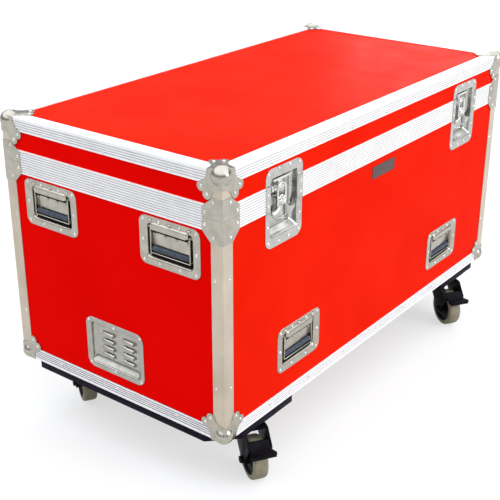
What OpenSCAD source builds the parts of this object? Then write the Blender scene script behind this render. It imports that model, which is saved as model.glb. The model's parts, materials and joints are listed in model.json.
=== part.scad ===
// Tack trunk: a flight-case style trunk on castors. Plywood walls in aluminium trim, a hinged lid,
// two recessed butterfly latches, eight sprung bail handles and two louvred vents.
// Millimetres, +Z up. The front, with the latches, faces -Y. The floor is at z = 0.

/* [Case] */
// Outside length over the aluminium trim
case_l = 1200; // [1000:10:1500]
// Outside width over the trim
case_w = 620; // [540:10:760]
// Outside height of the closed case without castors
case_h = 600; // [560:10:800]
// Height of the lid above the seam
lid_h = 100; // [97:1:160]
// Thickness of the laminated plywood
ply_t = 9; // [8:0.5:12]
// Gap left at the seam when the lid is down
seam_gap = 0.3; // [0.2:0.05:0.5]

/* [Aluminium trim] */
// Leg of the edge and corner angles
trim_leg = 30; // [26:1:36]
// Wall of every trim section
trim_t = 1.6; // [1.4:0.1:2.4]
// Height of the two seam sections together
band_h = 55; // [50:1:62]
// Spacing of the grooves rolled into the ribbed sections
rib_pitch = 5.4; // [4.5:0.1:7]
// Width of one groove
groove_w = 2.2; // [1.4:0.1:3]
// Depth of one groove
groove_d = 0.85; // [0.3:0.05:0.9]
// Height of the tongue that locates the lid
tongue_h = 5; // [3:0.5:5]
// Clearance between the tongue and its groove
tongue_fit = 0.4; // [0.3:0.05:0.6]

/* [Corner hardware] */
// Sheet thickness of corners, braces and dish flanges
plate_t = 1.5; // [1:0.1:2]
// Radius of the ball on each corner
ball_r = 21; // [20:0.5:23]
// Inset of the ball's centre from the three outer faces
ball_in = 12.5; // [11.5:0.5:13]
// Long offset of a lobe on a ball corner's ear
lobe_a = 51; // [49:1:54]
// Short offset of that lobe
lobe_b = 37; // [35:1:39]
// Radius of a lobe
lobe_r = 10.5; // [9:0.5:12]
// Width of a corner brace at its middle
brace_w = 51; // [46:1:58]
// Width of a corner brace at its top end
brace_top_w = 25; // [20:1:30]
// Width of a corner brace at its lower end
brace_foot_w = 29; // [22:1:34]
// Reach of a corner brace above the seam
brace_up = 44; // [40:1:48]
// Reach of a corner brace below the seam
brace_down = 50; // [44:1:60]
// Radius of a rivet head
rivet_r = 3.8; // [3:0.1:4.5]
// Height of a rivet head
rivet_h = 1.7; // [1:0.1:2.2]

/* [Latches] */
// Distance of a latch's centre from the end of the case
latch_in = 200; // [150:5:260]
// Width of a latch dish over its flange
latch_w = 127; // [120:1:140]
// Height of a latch dish over its flange
latch_h = 172; // [165:1:185]
// Part of the latch dish above the seam
latch_rise = 63; // [61:1:64]
// Width of the latch recess
latch_mouth = 93; // [91:1:98]
// Depth of every latch part behind the trim's face
latch_depth = 18; // [17.5:0.5:22]
// Upward travel of the hook between locked and free
hook_lift = 9; // [7:0.5:9]
// Outward travel of the hook between locked and free
hook_out = 4.2; // [3.6:0.1:4.2]
// Reach of one butterfly wing from its hinge
wing_reach = 28; // [22:1:28]

/* [Handles] */
// Width of a handle dish over its flange
handle_w = 161; // [150:1:175]
// Height of a handle dish over its flange
handle_h = 108; // [102:1:116]
// Distance of a front handle's centre from the end of the case
handle_in = 265; // [200:5:300]
// Height of the front and back handles above the case's bottom
handle_up = 131; // [95:1:200]
// Distance of an end handle's centre from the case's corner
end_handle_in = 138; // [120:1:165]
// Drop of the end handles below the seam
end_handle_drop = 87; // [84:1:110]
// Depth of the handle recess behind the trim's face
handle_depth = 17; // [15.5:0.5:22]
// Diameter of the bail's rubber grip
grip_d = 13; // [11:0.5:14]
// Swing of a bail from its recess to straight out
bail_swing = 90; // [60:5:90]

/* [Vents and label] */
// Width of a vent dish
vent_w = 172; // [160:1:190]
// Height of a vent dish
vent_h = 127; // [120:1:140]
// Height of a vent's centre above the case's bottom
vent_up = 116; // [105:1:130]
// Depth of the vent recess behind the trim's face
vent_depth = 14; // [11:0.5:18]
// Width of the bare label plate
label_w = 100; // [60:1:140]
// Height of the bare label plate
label_h = 30; // [20:1:40]
// Drop of the label's centre below the seam
label_drop = 59; // [50:1:90]

/* [Hinges] */
// Width of one lid hinge
hinge_w = 90; // [70:5:120]
// Diameter of a lid hinge pin
hinge_pin_d = 6; // [5:0.5:6]
// Standoff of the hinge axis from the back of the case
hinge_out = 6; // [6:0.5:8]

/* [Castors] */
// Thickness of a castor board
board_t = 18; // [15:1:25]
// Width of a castor board along the case
board_w = 243; // [220:1:280]
// Chamfer of a castor board's outer corners
board_chamfer = 57; // [54:1:64]
// Diameter of a castor wheel
wheel_d = 100; // [90:1:104]
// Width of a castor wheel
wheel_w = 34; // [28:1:38]
// Distance of a swivel axis from the end of the case
castor_in_x = 141; // [125:1:160]
// Distance of a swivel axis from the front or back of the case
castor_in_y = 46; // [44:1:70]
// Height of a castor from the floor to the board
castor_h = 139; // [136:1:150]
// Trail of the wheel behind the swivel axis
trail = 35; // [28:1:42]
// Angle at which the castors have come to rest
trail_turn = -32; // [-60:1:0]
// Reach of the brake pedal from the swivel axis
pedal_reach = 100; // [94:1:110]

/* [Hidden] */
$fn = 48;
eps = 0.01;
base_h = case_h - lid_h;
floor_top = trim_t + ply_t;
wall_in = trim_t + ply_t;
ride_h = castor_h + board_t;
band_lo = base_h - band_h / 2;
band_hi = base_h + band_h / 2;
band_web = 3;
band_lip = 15;
band_in = wall_in + trim_t;
base_top = base_h - band_web;
lid_foot = base_h + seam_gap + tongue_h + 2 * tongue_fit + 2;
lid_roof = case_h - wall_in;
trim_cut = 14;
tongue_d = 4.5;
tongue_w = 3.5;
tongue_taper = 1.2;
latch_x = case_l / 2 - latch_in;
latch_top = base_h + latch_rise;
latch_foot = latch_top - latch_h;
mouth_lo = latch_foot + 25;
mouth_hi = latch_top - 23;
latch_slope = 11;
rotor_z = base_h - 16;
rotor_r = 12;
boss_r = 10;
stud_r = 5;
run_fit = 0.05;
rotor_face = 2.2;
rotor_back = 7.9;
backing_t = 1.6;
backing_d = latch_depth - backing_t;
wing_x = 11;
wing_d = 5.1;
wing_lo = rotor_z - 33;
wing_hi = rotor_z - 9.5;
wing_pin_r = 1.6;
wing_barrel_r = 2.9;
hook_t = 2;
hook_d = backing_d - hook_t - 1.8 - hook_out;
hook_r = 16;
hook_top = base_h + 24;
hook_lip = 2.2;
hook_lip_z = hook_top - 3.7;
keeper_z = hook_lip_z - hook_lift - 0.3;
keeper_d = hook_d + hook_t + hook_out + 0.37;
handle_x = case_l / 2 - handle_in;
end_handle_x = case_w / 2 - end_handle_in;
end_handle_z = base_h - end_handle_drop;
dish_t = 1.2;
handle_mouth_w = handle_w - 41;
bail_half = handle_mouth_w / 2 - 4;
bail_arm_w = 5;
hood_half = bail_half - bail_arm_w - 1;
hood_lo = 24.5;
hood_hi = 41;
bail_pin_r = 3;
bail_pin_z = 29;
bail_pin_d = 7;
grip_z = -17.5;
grip_half = bail_half - 7;
mouth_r = 6;
handle_mouth_lo = -36;
handle_mouth_hi = 36;
handle_slope = 7;
vent_mouth_w = 145;
vent_mouth_lo = -50;
vent_mouth_hi = 49;
vent_slope = 16;
knuckles = 5;
knuckle_r = 5.5;
leaf_t = 2;
leaf_up = 60;
leaf_down = 64;
pocket_r = 26;
plate_l = 100;
plate_w = 85;
castor_plate_t = 4;
race_t = 4;
race_r = 33;
fork_half = 28;
fork_t = 3.5;
fork_top = -board_t - castor_plate_t - race_t - 0.3;
fork_head_t = 4.5;
kingpin_r = 6;
axle_z = wheel_d / 2 - ride_h;
axle_r = 5;
wheel_core_r = wheel_d / 2 - 12;
pedal_pin_y = -60;
pedal_pin_z = fork_top - 28;
pedal_pin_r = 3;
pedal_half = 31;
pedal_t = 3.5;
front_reach = case_w / 2 - castor_in_y + pedal_reach * cos(trail_turn) - (pedal_half - 2) * sin(trail_turn);
back_reach = case_w / 2 + hinge_out + knuckle_r;
case_shift = (front_reach - back_reach) / 2;
corner_signs = [[-1, -1], [1, -1], [1, 1], [-1, 1]];
sides = [0, 1, 2, 3];

function face_depth(side) = side % 2 == 0 ? case_w / 2 : case_l / 2;
function face_len(side) = side % 2 == 0 ? case_l : case_w;
function reversed(list) = [for (i = [len(list) - 1:-1:0]) list[i]];

// Grooves along a leg: pairs of distance along it and depth into it, inside the stretch from a to b
function grooves(a, b) = let (n = floor((b - a - groove_w) / rib_pitch), first = (a + b - (n - 1) * rib_pitch) / 2)
    [for (i = [0:n - 1], p = [[-1, 0], [-1, 1], [1, 1], [1, 0]])
        [first + i * rib_pitch + p[0] * (groove_w - p[1] * groove_d) / 2, p[1] * groove_d]];

// Places the case on its castors, with the middle of the whole trunk's box at the origin
module stand() {
    translate([0, case_shift, ride_h]) children();
}

// Frame of one side: x along it, y inwards from the trim's face, z up. 0 is the front, 1 the right end
module face(side) {
    rotate([0, 0, 90 * side]) translate([0, -face_depth(side), 0]) children();
}

// A flat shape in x and z, as a sheet between two depths
module sheet(d0, d1) {
    translate([0, d1, 0]) rotate([90, 0, 0]) linear_extrude(d1 - d0) children();
}

// A profile in depth and height, run along the side
module run(length) {
    translate([-length / 2, 0, 0]) rotate([90, 0, 90]) linear_extrude(length) children();
}

module round_rect(w, h, r) {
    square([w - 2 * r, h], center = true);
    square([w, h - 2 * r], center = true);
    for (sx = [-1, 1], sz = [-1, 1]) translate([sx * (w / 2 - r), sz * (h / 2 - r)]) circle(r);
}

module slab(x0, x1, d0, d1, z0, z1) {
    translate([x0, d0, z0]) cube([x1 - x0, d1 - d0, z1 - z0]);
}

// Children at the four vertical edges, each with its material towards +x and +y
module at_edges() {
    for (k = sides)
        translate([corner_signs[k][0] * case_l / 2, corner_signs[k][1] * case_w / 2, 0])
            rotate([0, 0, 90 * k]) children();
}

module rivet(x, d, z) {
    cap_r = (rivet_r * rivet_r + rivet_h * rivet_h) / (2 * rivet_h);
    translate([x, d, z]) rotate([90, 0, 0]) rotate_extrude() intersection() {
        translate([0, rivet_h - cap_r]) circle(cap_r);
        square([2 * rivet_r, 2 * rivet_h]);
    }
}

// Openings in the walls

module latch_cut() {
    half = latch_mouth / 2 + dish_t + 0.4;
    for (s = [-1, 1])
        slab(s * latch_x - half, s * latch_x + half, -1, wall_in + 20, mouth_lo - dish_t - 1, mouth_hi + dish_t + 1);
}

module handle_cut(x, z) {
    half = handle_mouth_w / 2 + dish_t + 0.4;
    slab(x - half, x + half, -1, wall_in + 1, z + handle_mouth_lo - dish_t - 1, z + handle_mouth_hi + dish_t + 1);
}

module vent_cut() {
    half = vent_mouth_w / 2 + dish_t + 0.4;
    slab(-half, half, -1, wall_in + 1, vent_up + vent_mouth_lo - dish_t - 1, vent_up + vent_mouth_hi + dish_t + 1);
}

// Plywood

module wall(side, z0, z1) {
    half = side % 2 == 0 ? case_l / 2 - trim_t : case_w / 2 - wall_in;
    face(side) slab(-half, half, trim_t, wall_in, z0, z1);
}

module long_panel(side) {
    color("red") difference() {
        wall(side, floor_top, base_top);
        face(side) {
            for (s = [-1, 1]) handle_cut(s * handle_x, handle_up);
            if (side == 0) latch_cut();
        }
    }
}

module base_front_panel() {
    stand() long_panel(0);
}

module base_back_panel() {
    stand() long_panel(2);
}

module base_end_panels() {
    stand() color("red") for (side = [1, 3]) difference() {
        wall(side, floor_top, base_top);
        face(side) {
            for (s = [-1, 1]) handle_cut(s * end_handle_x, end_handle_z);
            vent_cut();
        }
    }
}

module flat_panel(z) {
    translate([-case_l / 2 + trim_t, -case_w / 2 + trim_t, z])
        cube([case_l - 2 * trim_t, case_w - 2 * trim_t, ply_t]);
}

module base_floor_panel() {
    stand() color("red") flat_panel(trim_t);
}

module lid_top_panel() {
    stand() color("red") flat_panel(lid_roof);
}

module lid_side_panels() {
    stand() color("red") for (side = sides) difference() {
        wall(side, lid_foot, lid_roof);
        if (side == 0) face(0) latch_cut();
    }
}

// Trim sections

module ribbed_angle(length) {
    side_leg = grooves(2, trim_leg);
    run(length) polygon(concat([[trim_t, trim_t], [trim_t, trim_leg], [0, trim_leg]],
        [for (p = reversed(side_leg)) [p[1], p[0]]], [[0, 0]], side_leg, [[trim_leg, 0], [trim_leg, trim_t]]));
}

// Ends of a run: square inside the ball corner, then mitred
module mitred(side, reach, cut, z0, z1) {
    h = face_len(side) / 2;
    intersection() {
        children();
        translate([0, 0, z0]) linear_extrude(z1 - z0) polygon([[cut - h, -1], [h - cut, -1], [h - cut, cut],
            [h - reach, reach], [reach - h, reach], [cut - h, cut]]);
    }
}

module edge_trim() {
    for (side = sides) face(side) mitred(side, trim_leg + 1, trim_cut, -1, trim_leg + 1)
        ribbed_angle(face_len(side));
}

module bottom_edge_trim() {
    stand() color("gainsboro") edge_trim();
}

module lid_edge_trim() {
    stand() color("gainsboro") translate([0, 0, case_h]) mirror([0, 0, 1]) edge_trim();
}

module corner_angle(z0, z1) {
    translate([0, 0, z0]) linear_extrude(z1 - z0)
        polygon([[0, 0], [trim_leg, 0], [trim_leg, trim_t], [trim_t, trim_t], [trim_t, trim_leg], [0, trim_leg]]);
}

module base_corner_trim() {
    stand() color("silver") at_edges() corner_angle(trim_leg, band_lo);
}

module lid_corner_trim() {
    stand() color("silver") at_edges() corner_angle(band_hi, case_h - trim_leg);
}

// Section that caps the base walls and carries the tongue
module base_seam_profile() {
    polygon(concat([[0, band_lo]], [for (p = grooves(band_lo, base_h)) [p[1], p[0]]],
        [[0, base_h], [tongue_d, base_h], [tongue_d + tongue_taper / 2, base_h + tongue_h],
        [tongue_d + tongue_w - tongue_taper, base_h + tongue_h], [tongue_d + tongue_w, base_h],
        [band_in, base_h], [band_in, base_h - band_lip], [wall_in, base_h - band_lip],
        [wall_in, base_top], [trim_t, base_top], [trim_t, band_lo]]));
}

// Section that caps the lid walls and takes the tongue in its groove
module lid_seam_profile() {
    foot = base_h + seam_gap;
    roof = foot + tongue_h + tongue_fit;
    polygon(concat([[0, band_hi]], [for (p = reversed(grooves(foot, band_hi))) [p[1], p[0]]],
        [[0, foot], [tongue_d - tongue_fit, foot], [tongue_d - tongue_fit, roof],
        [tongue_d + tongue_w + tongue_fit, roof], [tongue_d + tongue_w + tongue_fit, foot],
        [band_in, foot], [band_in, foot + band_lip], [wall_in, foot + band_lip],
        [wall_in, lid_foot], [trim_t, lid_foot], [trim_t, band_hi]]));
}

module seam_ring() {
    for (side = sides) face(side) difference() {
        mitred(side, band_in + 1, -1, band_lo - 1, band_hi + 1) run(face_len(side)) children();
        if (side == 0) latch_cut();
    }
}

module base_seam_trim() {
    stand() color("gainsboro") seam_ring() base_seam_profile();
}

module lid_seam_trim() {
    stand() color("gainsboro") seam_ring() lid_seam_profile();
}

// Corner hardware

// One ear of a ball corner on the quarter plane: two lobes, with hollow flanks
module ear_outline() {
    root = lobe_a - 13.7;
    hollow_r = 22.5;
    difference() {
        union() {
            polygon([[-plate_t, -plate_t], [root, -plate_t], [root, 3], [lobe_a + 2, lobe_b - lobe_r + 1],
                [lobe_a, lobe_b], [lobe_b, lobe_a], [lobe_b - lobe_r + 1, lobe_a + 2], [3, root],
                [-plate_t, root]]);
            translate([lobe_a, lobe_b]) circle(lobe_r);
            translate([lobe_b, lobe_a]) circle(lobe_r);
        }
        translate([lobe_a + 9, 5]) circle(hollow_r);
        translate([5, lobe_a + 9]) circle(hollow_r);
    }
}

// The corner at the origin, with the case towards +x, +y and +z
module ball_corner() {
    skin = plate_t + trim_t;
    big = 3 * trim_leg;
    difference() {
        union() {
            translate([ball_in, ball_in, ball_in]) rotate([0, 0, 45]) rotate([0, 54.7356, 0]) sphere(ball_r, $fn = 96);
            difference() {
                union() {
                    translate([0, 0, -plate_t]) linear_extrude(skin) ear_outline();
                    translate([0, trim_t, 0]) rotate([90, 0, 0]) linear_extrude(skin) ear_outline();
                    translate([-plate_t, 0, 0]) rotate([90, 0, 90]) linear_extrude(skin) ear_outline();
                }
                translate([-5, -5, -5]) cube(13);
            }
        }
        translate([trim_t, trim_t, trim_t]) cube(big);
        translate([trim_cut, 0, 0]) cube([big, trim_leg, trim_leg]);
        translate([0, trim_cut, 0]) cube([trim_leg, big, trim_leg]);
        translate([0, 0, trim_cut]) cube([trim_leg, trim_leg, big]);
    }
}

module base_ball_corners() {
    stand() color("silver") at_edges() ball_corner();
}

module lid_ball_corners() {
    stand() color("silver") at_edges() translate([0, 0, case_h]) mirror([0, 0, 1]) ball_corner();
}

module brace_outline() {
    polygon([[-plate_t, base_h - brace_down], [brace_foot_w, base_h - brace_down], [brace_w, band_lo],
        [brace_w, band_hi - 5], [brace_top_w, base_h + brace_up], [-plate_t, base_h + brace_up]]);
}

// Both legs of a brace, filled down to the panels where no trim lies under it
module brace_leg() {
    translate([0, 0, 0]) sheet(-plate_t, 0) brace_outline();
    difference() {
        sheet(-eps, trim_t) brace_outline();
        slab(-plate_t - 1, trim_leg, -1, trim_t + 1, base_h - brace_down - 1, base_h + brace_up + 1);
        slab(-plate_t - 1, brace_w + 1, -1, trim_t + 1, band_lo, band_hi);
    }
}

module corner_brace() {
    brace_leg();
    mirror([1, -1, 0]) brace_leg();
}

module base_corner_braces() {
    stand() color("silver") at_edges() intersection() {
        corner_brace();
        translate([-5, -5, 0]) cube([100, 100, base_h]);
    }
}

module lid_corner_braces() {
    stand() color("silver") at_edges() intersection() {
        corner_brace();
        translate([-5, -5, base_h + seam_gap]) cube([100, 100, lid_h]);
    }
}

// Recessed dishes

// A sheet that follows the panels and steps over the seam trim
module over_seam(length, z0, z1, t) {
    start = 0.5;
    inner = [[trim_t, z0], [trim_t, band_lo - start - trim_t], [0, band_lo - start], [0, band_hi + start],
        [trim_t, band_hi + start + trim_t], [trim_t, z1]];
    run(length) polygon(concat(inner, [for (p = reversed(inner)) [p[0] - t, p[1]]]));
}

// Hollow of a recess with rounded corners, and the pressing around it
module recess(w, z0, z1, depth, slope) {
    intersection() {
        run(w) polygon([[-9, z0], [trim_t, z0], [depth, z0 + slope], [depth, z1], [-9, z1]]);
        sheet(-10, depth + 1) translate([0, (z0 + z1) / 2]) round_rect(w, z1 - z0, mouth_r);
    }
}

module pressing(w, z0, z1, depth, slope) {
    over = w + 2 * dish_t;
    intersection() {
        run(over) polygon([[trim_t - plate_t, z0 - dish_t], [trim_t, z0 - dish_t],
            [depth + dish_t, z0 + slope - dish_t], [depth + dish_t, z1 + dish_t], [trim_t - plate_t, z1 + dish_t]]);
        sheet(-10, depth + 3) translate([0, (z0 + z1) / 2])
            round_rect(over, z1 - z0 + 2 * dish_t, mouth_r + dish_t);
    }
}

module latch_dish() {
    difference() {
        union() {
            intersection() {
                over_seam(latch_w, latch_foot, latch_top, plate_t);
                sheet(-5, 5) translate([0, (latch_top + latch_foot) / 2]) round_rect(latch_w, latch_h, 20);
            }
            pressing(latch_mouth, mouth_lo, mouth_hi, latch_depth, latch_slope);
        }
        recess(latch_mouth, mouth_lo, mouth_hi, latch_depth, latch_slope);
    }
}

module at_latches() {
    for (s = [-1, 1]) face(0) translate([s * latch_x, 0, 0]) children();
}

module latch_dishes_lower() {
    stand() color("silver") at_latches() difference() {
        latch_dish();
        slab(-latch_w, latch_w, -9, 40, base_h, case_h);
    }
}

module latch_dishes_upper() {
    stand() color("silver") at_latches() difference() {
        latch_dish();
        slab(-latch_w, latch_w, -9, 40, 0, base_h + seam_gap);
    }
}

module handle_dish() {
    difference() {
        union() {
            sheet(trim_t - plate_t, trim_t) round_rect(handle_w, handle_h, 17);
            pressing(handle_mouth_w, handle_mouth_lo, handle_mouth_hi, handle_depth, handle_slope);
            for (x = [-1, 0, 1] * (hood_half + 1)) translate([x - 7, trim_t - plate_t, hood_hi + 4.5])
                rotate([0, 90, 0]) cylinder(r = 2.4, h = 14);
        }
        recess(handle_mouth_w, handle_mouth_lo, handle_mouth_hi, handle_depth, handle_slope);
        slab(-handle_w / 2, handle_w / 2, trim_t, trim_t + 3, handle_mouth_hi + dish_t, handle_h / 2);
        translate([-handle_w / 2, bail_pin_d, bail_pin_z]) rotate([0, 90, 0])
            cylinder(r = bail_pin_r + run_fit, h = handle_w);
    }
    bail_hood();
}

// Fixed hood over the bail's pin, between its arms
module bail_hood() {
    intersection() {
        run(2 * hood_half) polygon([[0.4, hood_hi], [-1, hood_hi - 0.8], [-1.9, hood_hi - 3], [-2.1, hood_hi - 6],
            [-2.1, hood_lo + 5], [-1.5, hood_lo + 2], [0.5, hood_lo], [1.4, hood_lo + 0.8], [-0.3, hood_lo + 3],
            [-0.9, hood_lo + 5.4], [-0.9, hood_hi - 6.2], [-0.6, hood_hi - 3.6], [0.4, hood_hi - 2]]);
        sheet(-9, 9) translate([0, (hood_hi + hood_lo) / 2]) round_rect(2 * hood_half, hood_hi - hood_lo, 4);
    }
}

// Handle places: side, distance along it and height
handle_places = [[0, -handle_x, handle_up], [0, handle_x, handle_up], [1, -end_handle_x, end_handle_z],
    [1, end_handle_x, end_handle_z], [2, -handle_x, handle_up], [2, handle_x, handle_up],
    [3, -end_handle_x, end_handle_z], [3, end_handle_x, end_handle_z]];

module at_handle(i) {
    face(handle_places[i][0]) translate([handle_places[i][1], 0, handle_places[i][2]]) children();
}

module side_handle_dishes() {
    stand() color("silver") for (i = [0, 1, 4, 5]) at_handle(i) handle_dish();
}

module end_handle_dishes() {
    stand() color("silver") for (i = [2, 3, 6, 7]) at_handle(i) handle_dish();
}

module handle_pins() {
    half = handle_mouth_w / 2 + dish_t;
    stand() color("silver") for (i = [0:7]) at_handle(i)
        translate([-half, bail_pin_d, bail_pin_z]) rotate([0, 90, 0]) cylinder(r = bail_pin_r, h = 2 * half);
}

// Swinging bail: a tube on the pin, two arms, a lip, and a rod that carries the rubber grip
module bail(i) {
    arm_w = bail_arm_w;
    rod_r = 4;
    stand() at_handle(i) {
        color("silver") difference() {
            union() {
                translate([-bail_half, bail_pin_d, bail_pin_z]) rotate([0, 90, 0])
                    cylinder(r = 5, h = 2 * bail_half);
                for (s = [-1, 1]) translate([s * (bail_half - arm_w / 2) - arm_w / 2, 0, 0]) rotate([90, 0, 90])
                    linear_extrude(arm_w) union() {
                        polygon([[2, bail_pin_z], [2, grip_z - 8], [13, grip_z - 8], [13, grip_z + 2],
                            [9, grip_z + 9], [bail_pin_d + 3, bail_pin_z]]);
                    }
                slab(-bail_half, bail_half, 2, 13, grip_z - 9.5, grip_z - 8);
                slab(-bail_half, bail_half, 2, 3.5, grip_z - 13, grip_z - 8);
                translate([-bail_half, bail_pin_d + 0.5, grip_z]) rotate([0, 90, 0])
                    cylinder(r = rod_r, h = 2 * bail_half);
            }
            translate([-bail_half - 1, bail_pin_d, bail_pin_z]) rotate([0, 90, 0])
                cylinder(r = bail_pin_r + run_fit, h = 2 * bail_half + 2);
        }
        color("black") translate([-grip_half, bail_pin_d + 0.5, grip_z]) rotate([0, 90, 0]) difference() {
            cylinder(d = grip_d, h = 2 * grip_half);
            translate([0, 0, -1]) cylinder(r = rod_r + run_fit, h = 2 * grip_half + 2);
        }
    }
}

// One pressed louvre: a hood over a slot, open at its lower side
module louvre_hood(length) {
    skin = 1.1;
    tall = 9.5;
    deep = 5;
    difference() {
        translate([0, vent_depth, 0]) run(length) polygon([[0, 0], [-deep, 0], [-deep + 0.5, tall * 0.5],
            [-deep * 0.5, tall - 1], [0, tall]]);
        translate([0, vent_depth, 0]) run(length - 2 * skin) polygon([[1, -1], [skin - deep, -1],
            [skin - deep + 0.3, tall * 0.45], [-deep * 0.35, tall - skin - 1.4], [1, tall - skin - 1]]);
    }
}

module vent_dish() {
    louvre_w = 34;
    column_x = 30.5;
    pitch = 17.4;
    first = -32;
    difference() {
        union() {
            sheet(trim_t - plate_t, trim_t) round_rect(vent_w, vent_h, 20);
            pressing(vent_mouth_w, vent_mouth_lo, vent_mouth_hi, vent_depth, vent_slope);
        }
        recess(vent_mouth_w, vent_mouth_lo, vent_mouth_hi, vent_depth, vent_slope);
        for (s = [-1, 1], i = [0:3]) slab(s * column_x - louvre_w / 2 + 1.2, s * column_x + louvre_w / 2 - 1.2,
            vent_depth - 1, vent_depth + 3, first + i * pitch, first + i * pitch + 7);
    }
    for (s = [-1, 1], i = [0:3]) translate([s * column_x, 0, first + i * pitch]) louvre_hood(louvre_w);
}

module vent_dishes() {
    stand() color("silver") for (side = [1, 3]) face(side) translate([0, 0, vent_up]) vent_dish();
}

module label_plate() {
    rim = 1.6;
    stand() face(0) translate([0, 0, base_h - label_drop]) color("dimgray") difference() {
        sheet(trim_t - 1.4, trim_t) round_rect(label_w, label_h, 2);
        sheet(trim_t - 2, trim_t - 1) round_rect(label_w - 2 * rim, label_h - 2 * rim, 1.2);
    }
}

// Latch works

// Backing plate on the dish floor, with the stud that the rotor turns on and two cheeks that guide the hook
module latch_backing() {
    difference() {
        union() {
            sheet(backing_d, latch_depth) polygon([[-38, rotor_z - 52], [38, rotor_z - 52], [38, rotor_z - 26],
                [26, rotor_z + 10], [-26, rotor_z + 10], [-38, rotor_z - 26]]);
            translate([0, rotor_face, rotor_z]) rotate([-90, 0, 0]) cylinder(r = stud_r, h = backing_d - rotor_face);
            translate([0, rotor_face - 1.3, rotor_z]) rotate([-90, 0, 0]) cylinder(r = stud_r + 2.5, h = 1.2);
            translate([0, rotor_face - 0.2, rotor_z]) rotate([-90, 0, 0]) cylinder(r = stud_r, h = 0.3);
            for (s = [-1, 1]) translate([s * (hook_r + 1.5) - 1, 0, 0])
                slab(0, 2, rotor_back + 1.5, backing_d + eps, rotor_z - 22, rotor_z + 8);
        }
    }
}

module latch_backing_plates() {
    stand() color("silver") at_latches() latch_backing();
}

module latch_rotor(s) {
    lug = 3;
    stand() face(0) translate([s * latch_x, 0, 0]) color("silver") {
        difference() {
            union() {
                translate([0, rotor_face, rotor_z]) rotate([-90, 0, 0])
                    cylinder(r = rotor_r, h = rotor_back - rotor_face);
                translate([0, rotor_back - eps, rotor_z]) rotate([-90, 0, 0])
                    cylinder(r = boss_r, h = backing_d - rotor_back - 0.3);
                slab(-7.5, 7.5, 3.5, 7.2, wing_lo - lug, rotor_z);
                for (z = [wing_lo - lug, wing_hi + 0.3]) slab(-wing_x - 2.6, wing_x + 2.6, 3.4, 7.2, z - 0.3, z + lug - 0.3);
                for (w = [-1, 1]) translate([w * wing_x, wing_d, wing_lo - 1]) cylinder(r = wing_pin_r, h = wing_hi - wing_lo + 2);
            }
            translate([0, 0, rotor_z]) rotate([-90, 0, 0]) cylinder(r = stud_r + run_fit, h = 40);
        }
    }
}

module wing_outline(tip) {
    polygon([[wing_x, wing_lo + 0.3], [tip - 8.5, wing_lo + 0.3], [tip - 3, wing_lo + 5], [tip, wing_lo + 11],
        [tip - 1, wing_lo + 15], [wing_x + 4, wing_hi - 0.3], [wing_x, wing_hi - 0.3]]);
}

module latch_wing(s, w) {
    tip = wing_x + wing_reach;
    stand() face(0) translate([s * latch_x, 0, 0]) mirror([w < 0 ? 1 : 0, 0, 0]) color("silver") difference() {
        union() {
            translate([wing_x, wing_d, wing_lo + 0.3]) cylinder(r = wing_barrel_r, h = wing_hi - wing_lo - 0.6);
            sheet(wing_d - wing_barrel_r, wing_d - wing_barrel_r + 2) wing_outline(tip);
            sheet(wing_d - wing_barrel_r, wing_d) difference() {
                wing_outline(tip);
                translate([-1.6, -0.6]) wing_outline(tip);
                translate([0, -30]) square([wing_x + 6, 999]);
                translate([0, wing_lo + 14]) square([99, 99]);
            }
        }
        translate([wing_x, wing_d, 0]) cylinder(r = wing_pin_r + run_fit, h = base_h);
    }
}

// Hook plate, drawn free of the keeper: it slides inwards and down to lock
module latch_hook(s) {
    slot_r = boss_r + 0.5;
    stand() face(0) translate([s * latch_x, 0, 0]) color("silver") {
        sheet(hook_d, hook_d + hook_t) difference() {
            union() {
                translate([0, hook_top - hook_r]) circle(hook_r);
                translate([-hook_r, rotor_z - 24]) square([2 * hook_r, hook_top - hook_r - rotor_z + 24]);
            }
            translate([0, rotor_z]) circle(slot_r);
            translate([0, hook_top - 25]) circle(slot_r);
            translate([-slot_r, rotor_z]) square([2 * slot_r, hook_top - 25 - rotor_z]);
        }
        sheet(hook_d + hook_t - eps, hook_d + hook_t + hook_lip) intersection() {
            translate([0, hook_top - hook_r]) circle(hook_r);
            translate([-hook_r, hook_lip_z]) square([2 * hook_r, 9]);
        }
    }
}

// Keeper on the lid: a bar for the hook's lip, and a hood above it
module latch_keepers() {
    stand() color("silver") at_latches() {
        slab(-26, 26, latch_depth - 1, latch_depth, base_h + 2, mouth_hi - 2);
        slab(-14, 14, keeper_d, latch_depth - 1 + eps, keeper_z - 3, keeper_z);
        slab(-30, 30, 6, latch_depth, mouth_hi - 7, mouth_hi - 4.5);
        slab(-30, 30, 5, 7, mouth_hi - 10, mouth_hi - 4.5);
    }
}

// Lid hinges

module knuckle(i) {
    step = hinge_w / knuckles;
    x = -hinge_w / 2 + i * step + 0.15;
    difference() {
        union() {
            translate([x, -hinge_out, base_h]) rotate([0, 90, 0]) cylinder(r = knuckle_r, h = step - 0.3);
            if (i % 2 == 0) slab(x, x + step - 0.3, -leaf_t, 0, base_h - 6.5, base_h);
            else slab(x, x + step - 0.3, -leaf_t, 0, base_h, base_h + 6.5);
        }
        translate([-hinge_w, -hinge_out, base_h]) rotate([0, 90, 0])
            cylinder(d = hinge_pin_d + 2 * run_fit, h = 2 * hinge_w);
    }
}

hinge_places = [-latch_x, 0, latch_x];

module at_hinges() {
    for (x = hinge_places) face(2) translate([x, 0, 0]) children();
}

module hinge_leaves_base() {
    stand() color("silver") at_hinges() {
        over_seam_leaf(base_h - leaf_down, base_h - 6);
        for (i = [0:2:knuckles - 1]) knuckle(i);
    }
}

module hinge_leaves_lid() {
    stand() color("silver") at_hinges() {
        over_seam_leaf(base_h + 6, base_h + leaf_up);
        for (i = [1:2:knuckles - 1]) knuckle(i);
    }
}

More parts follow.
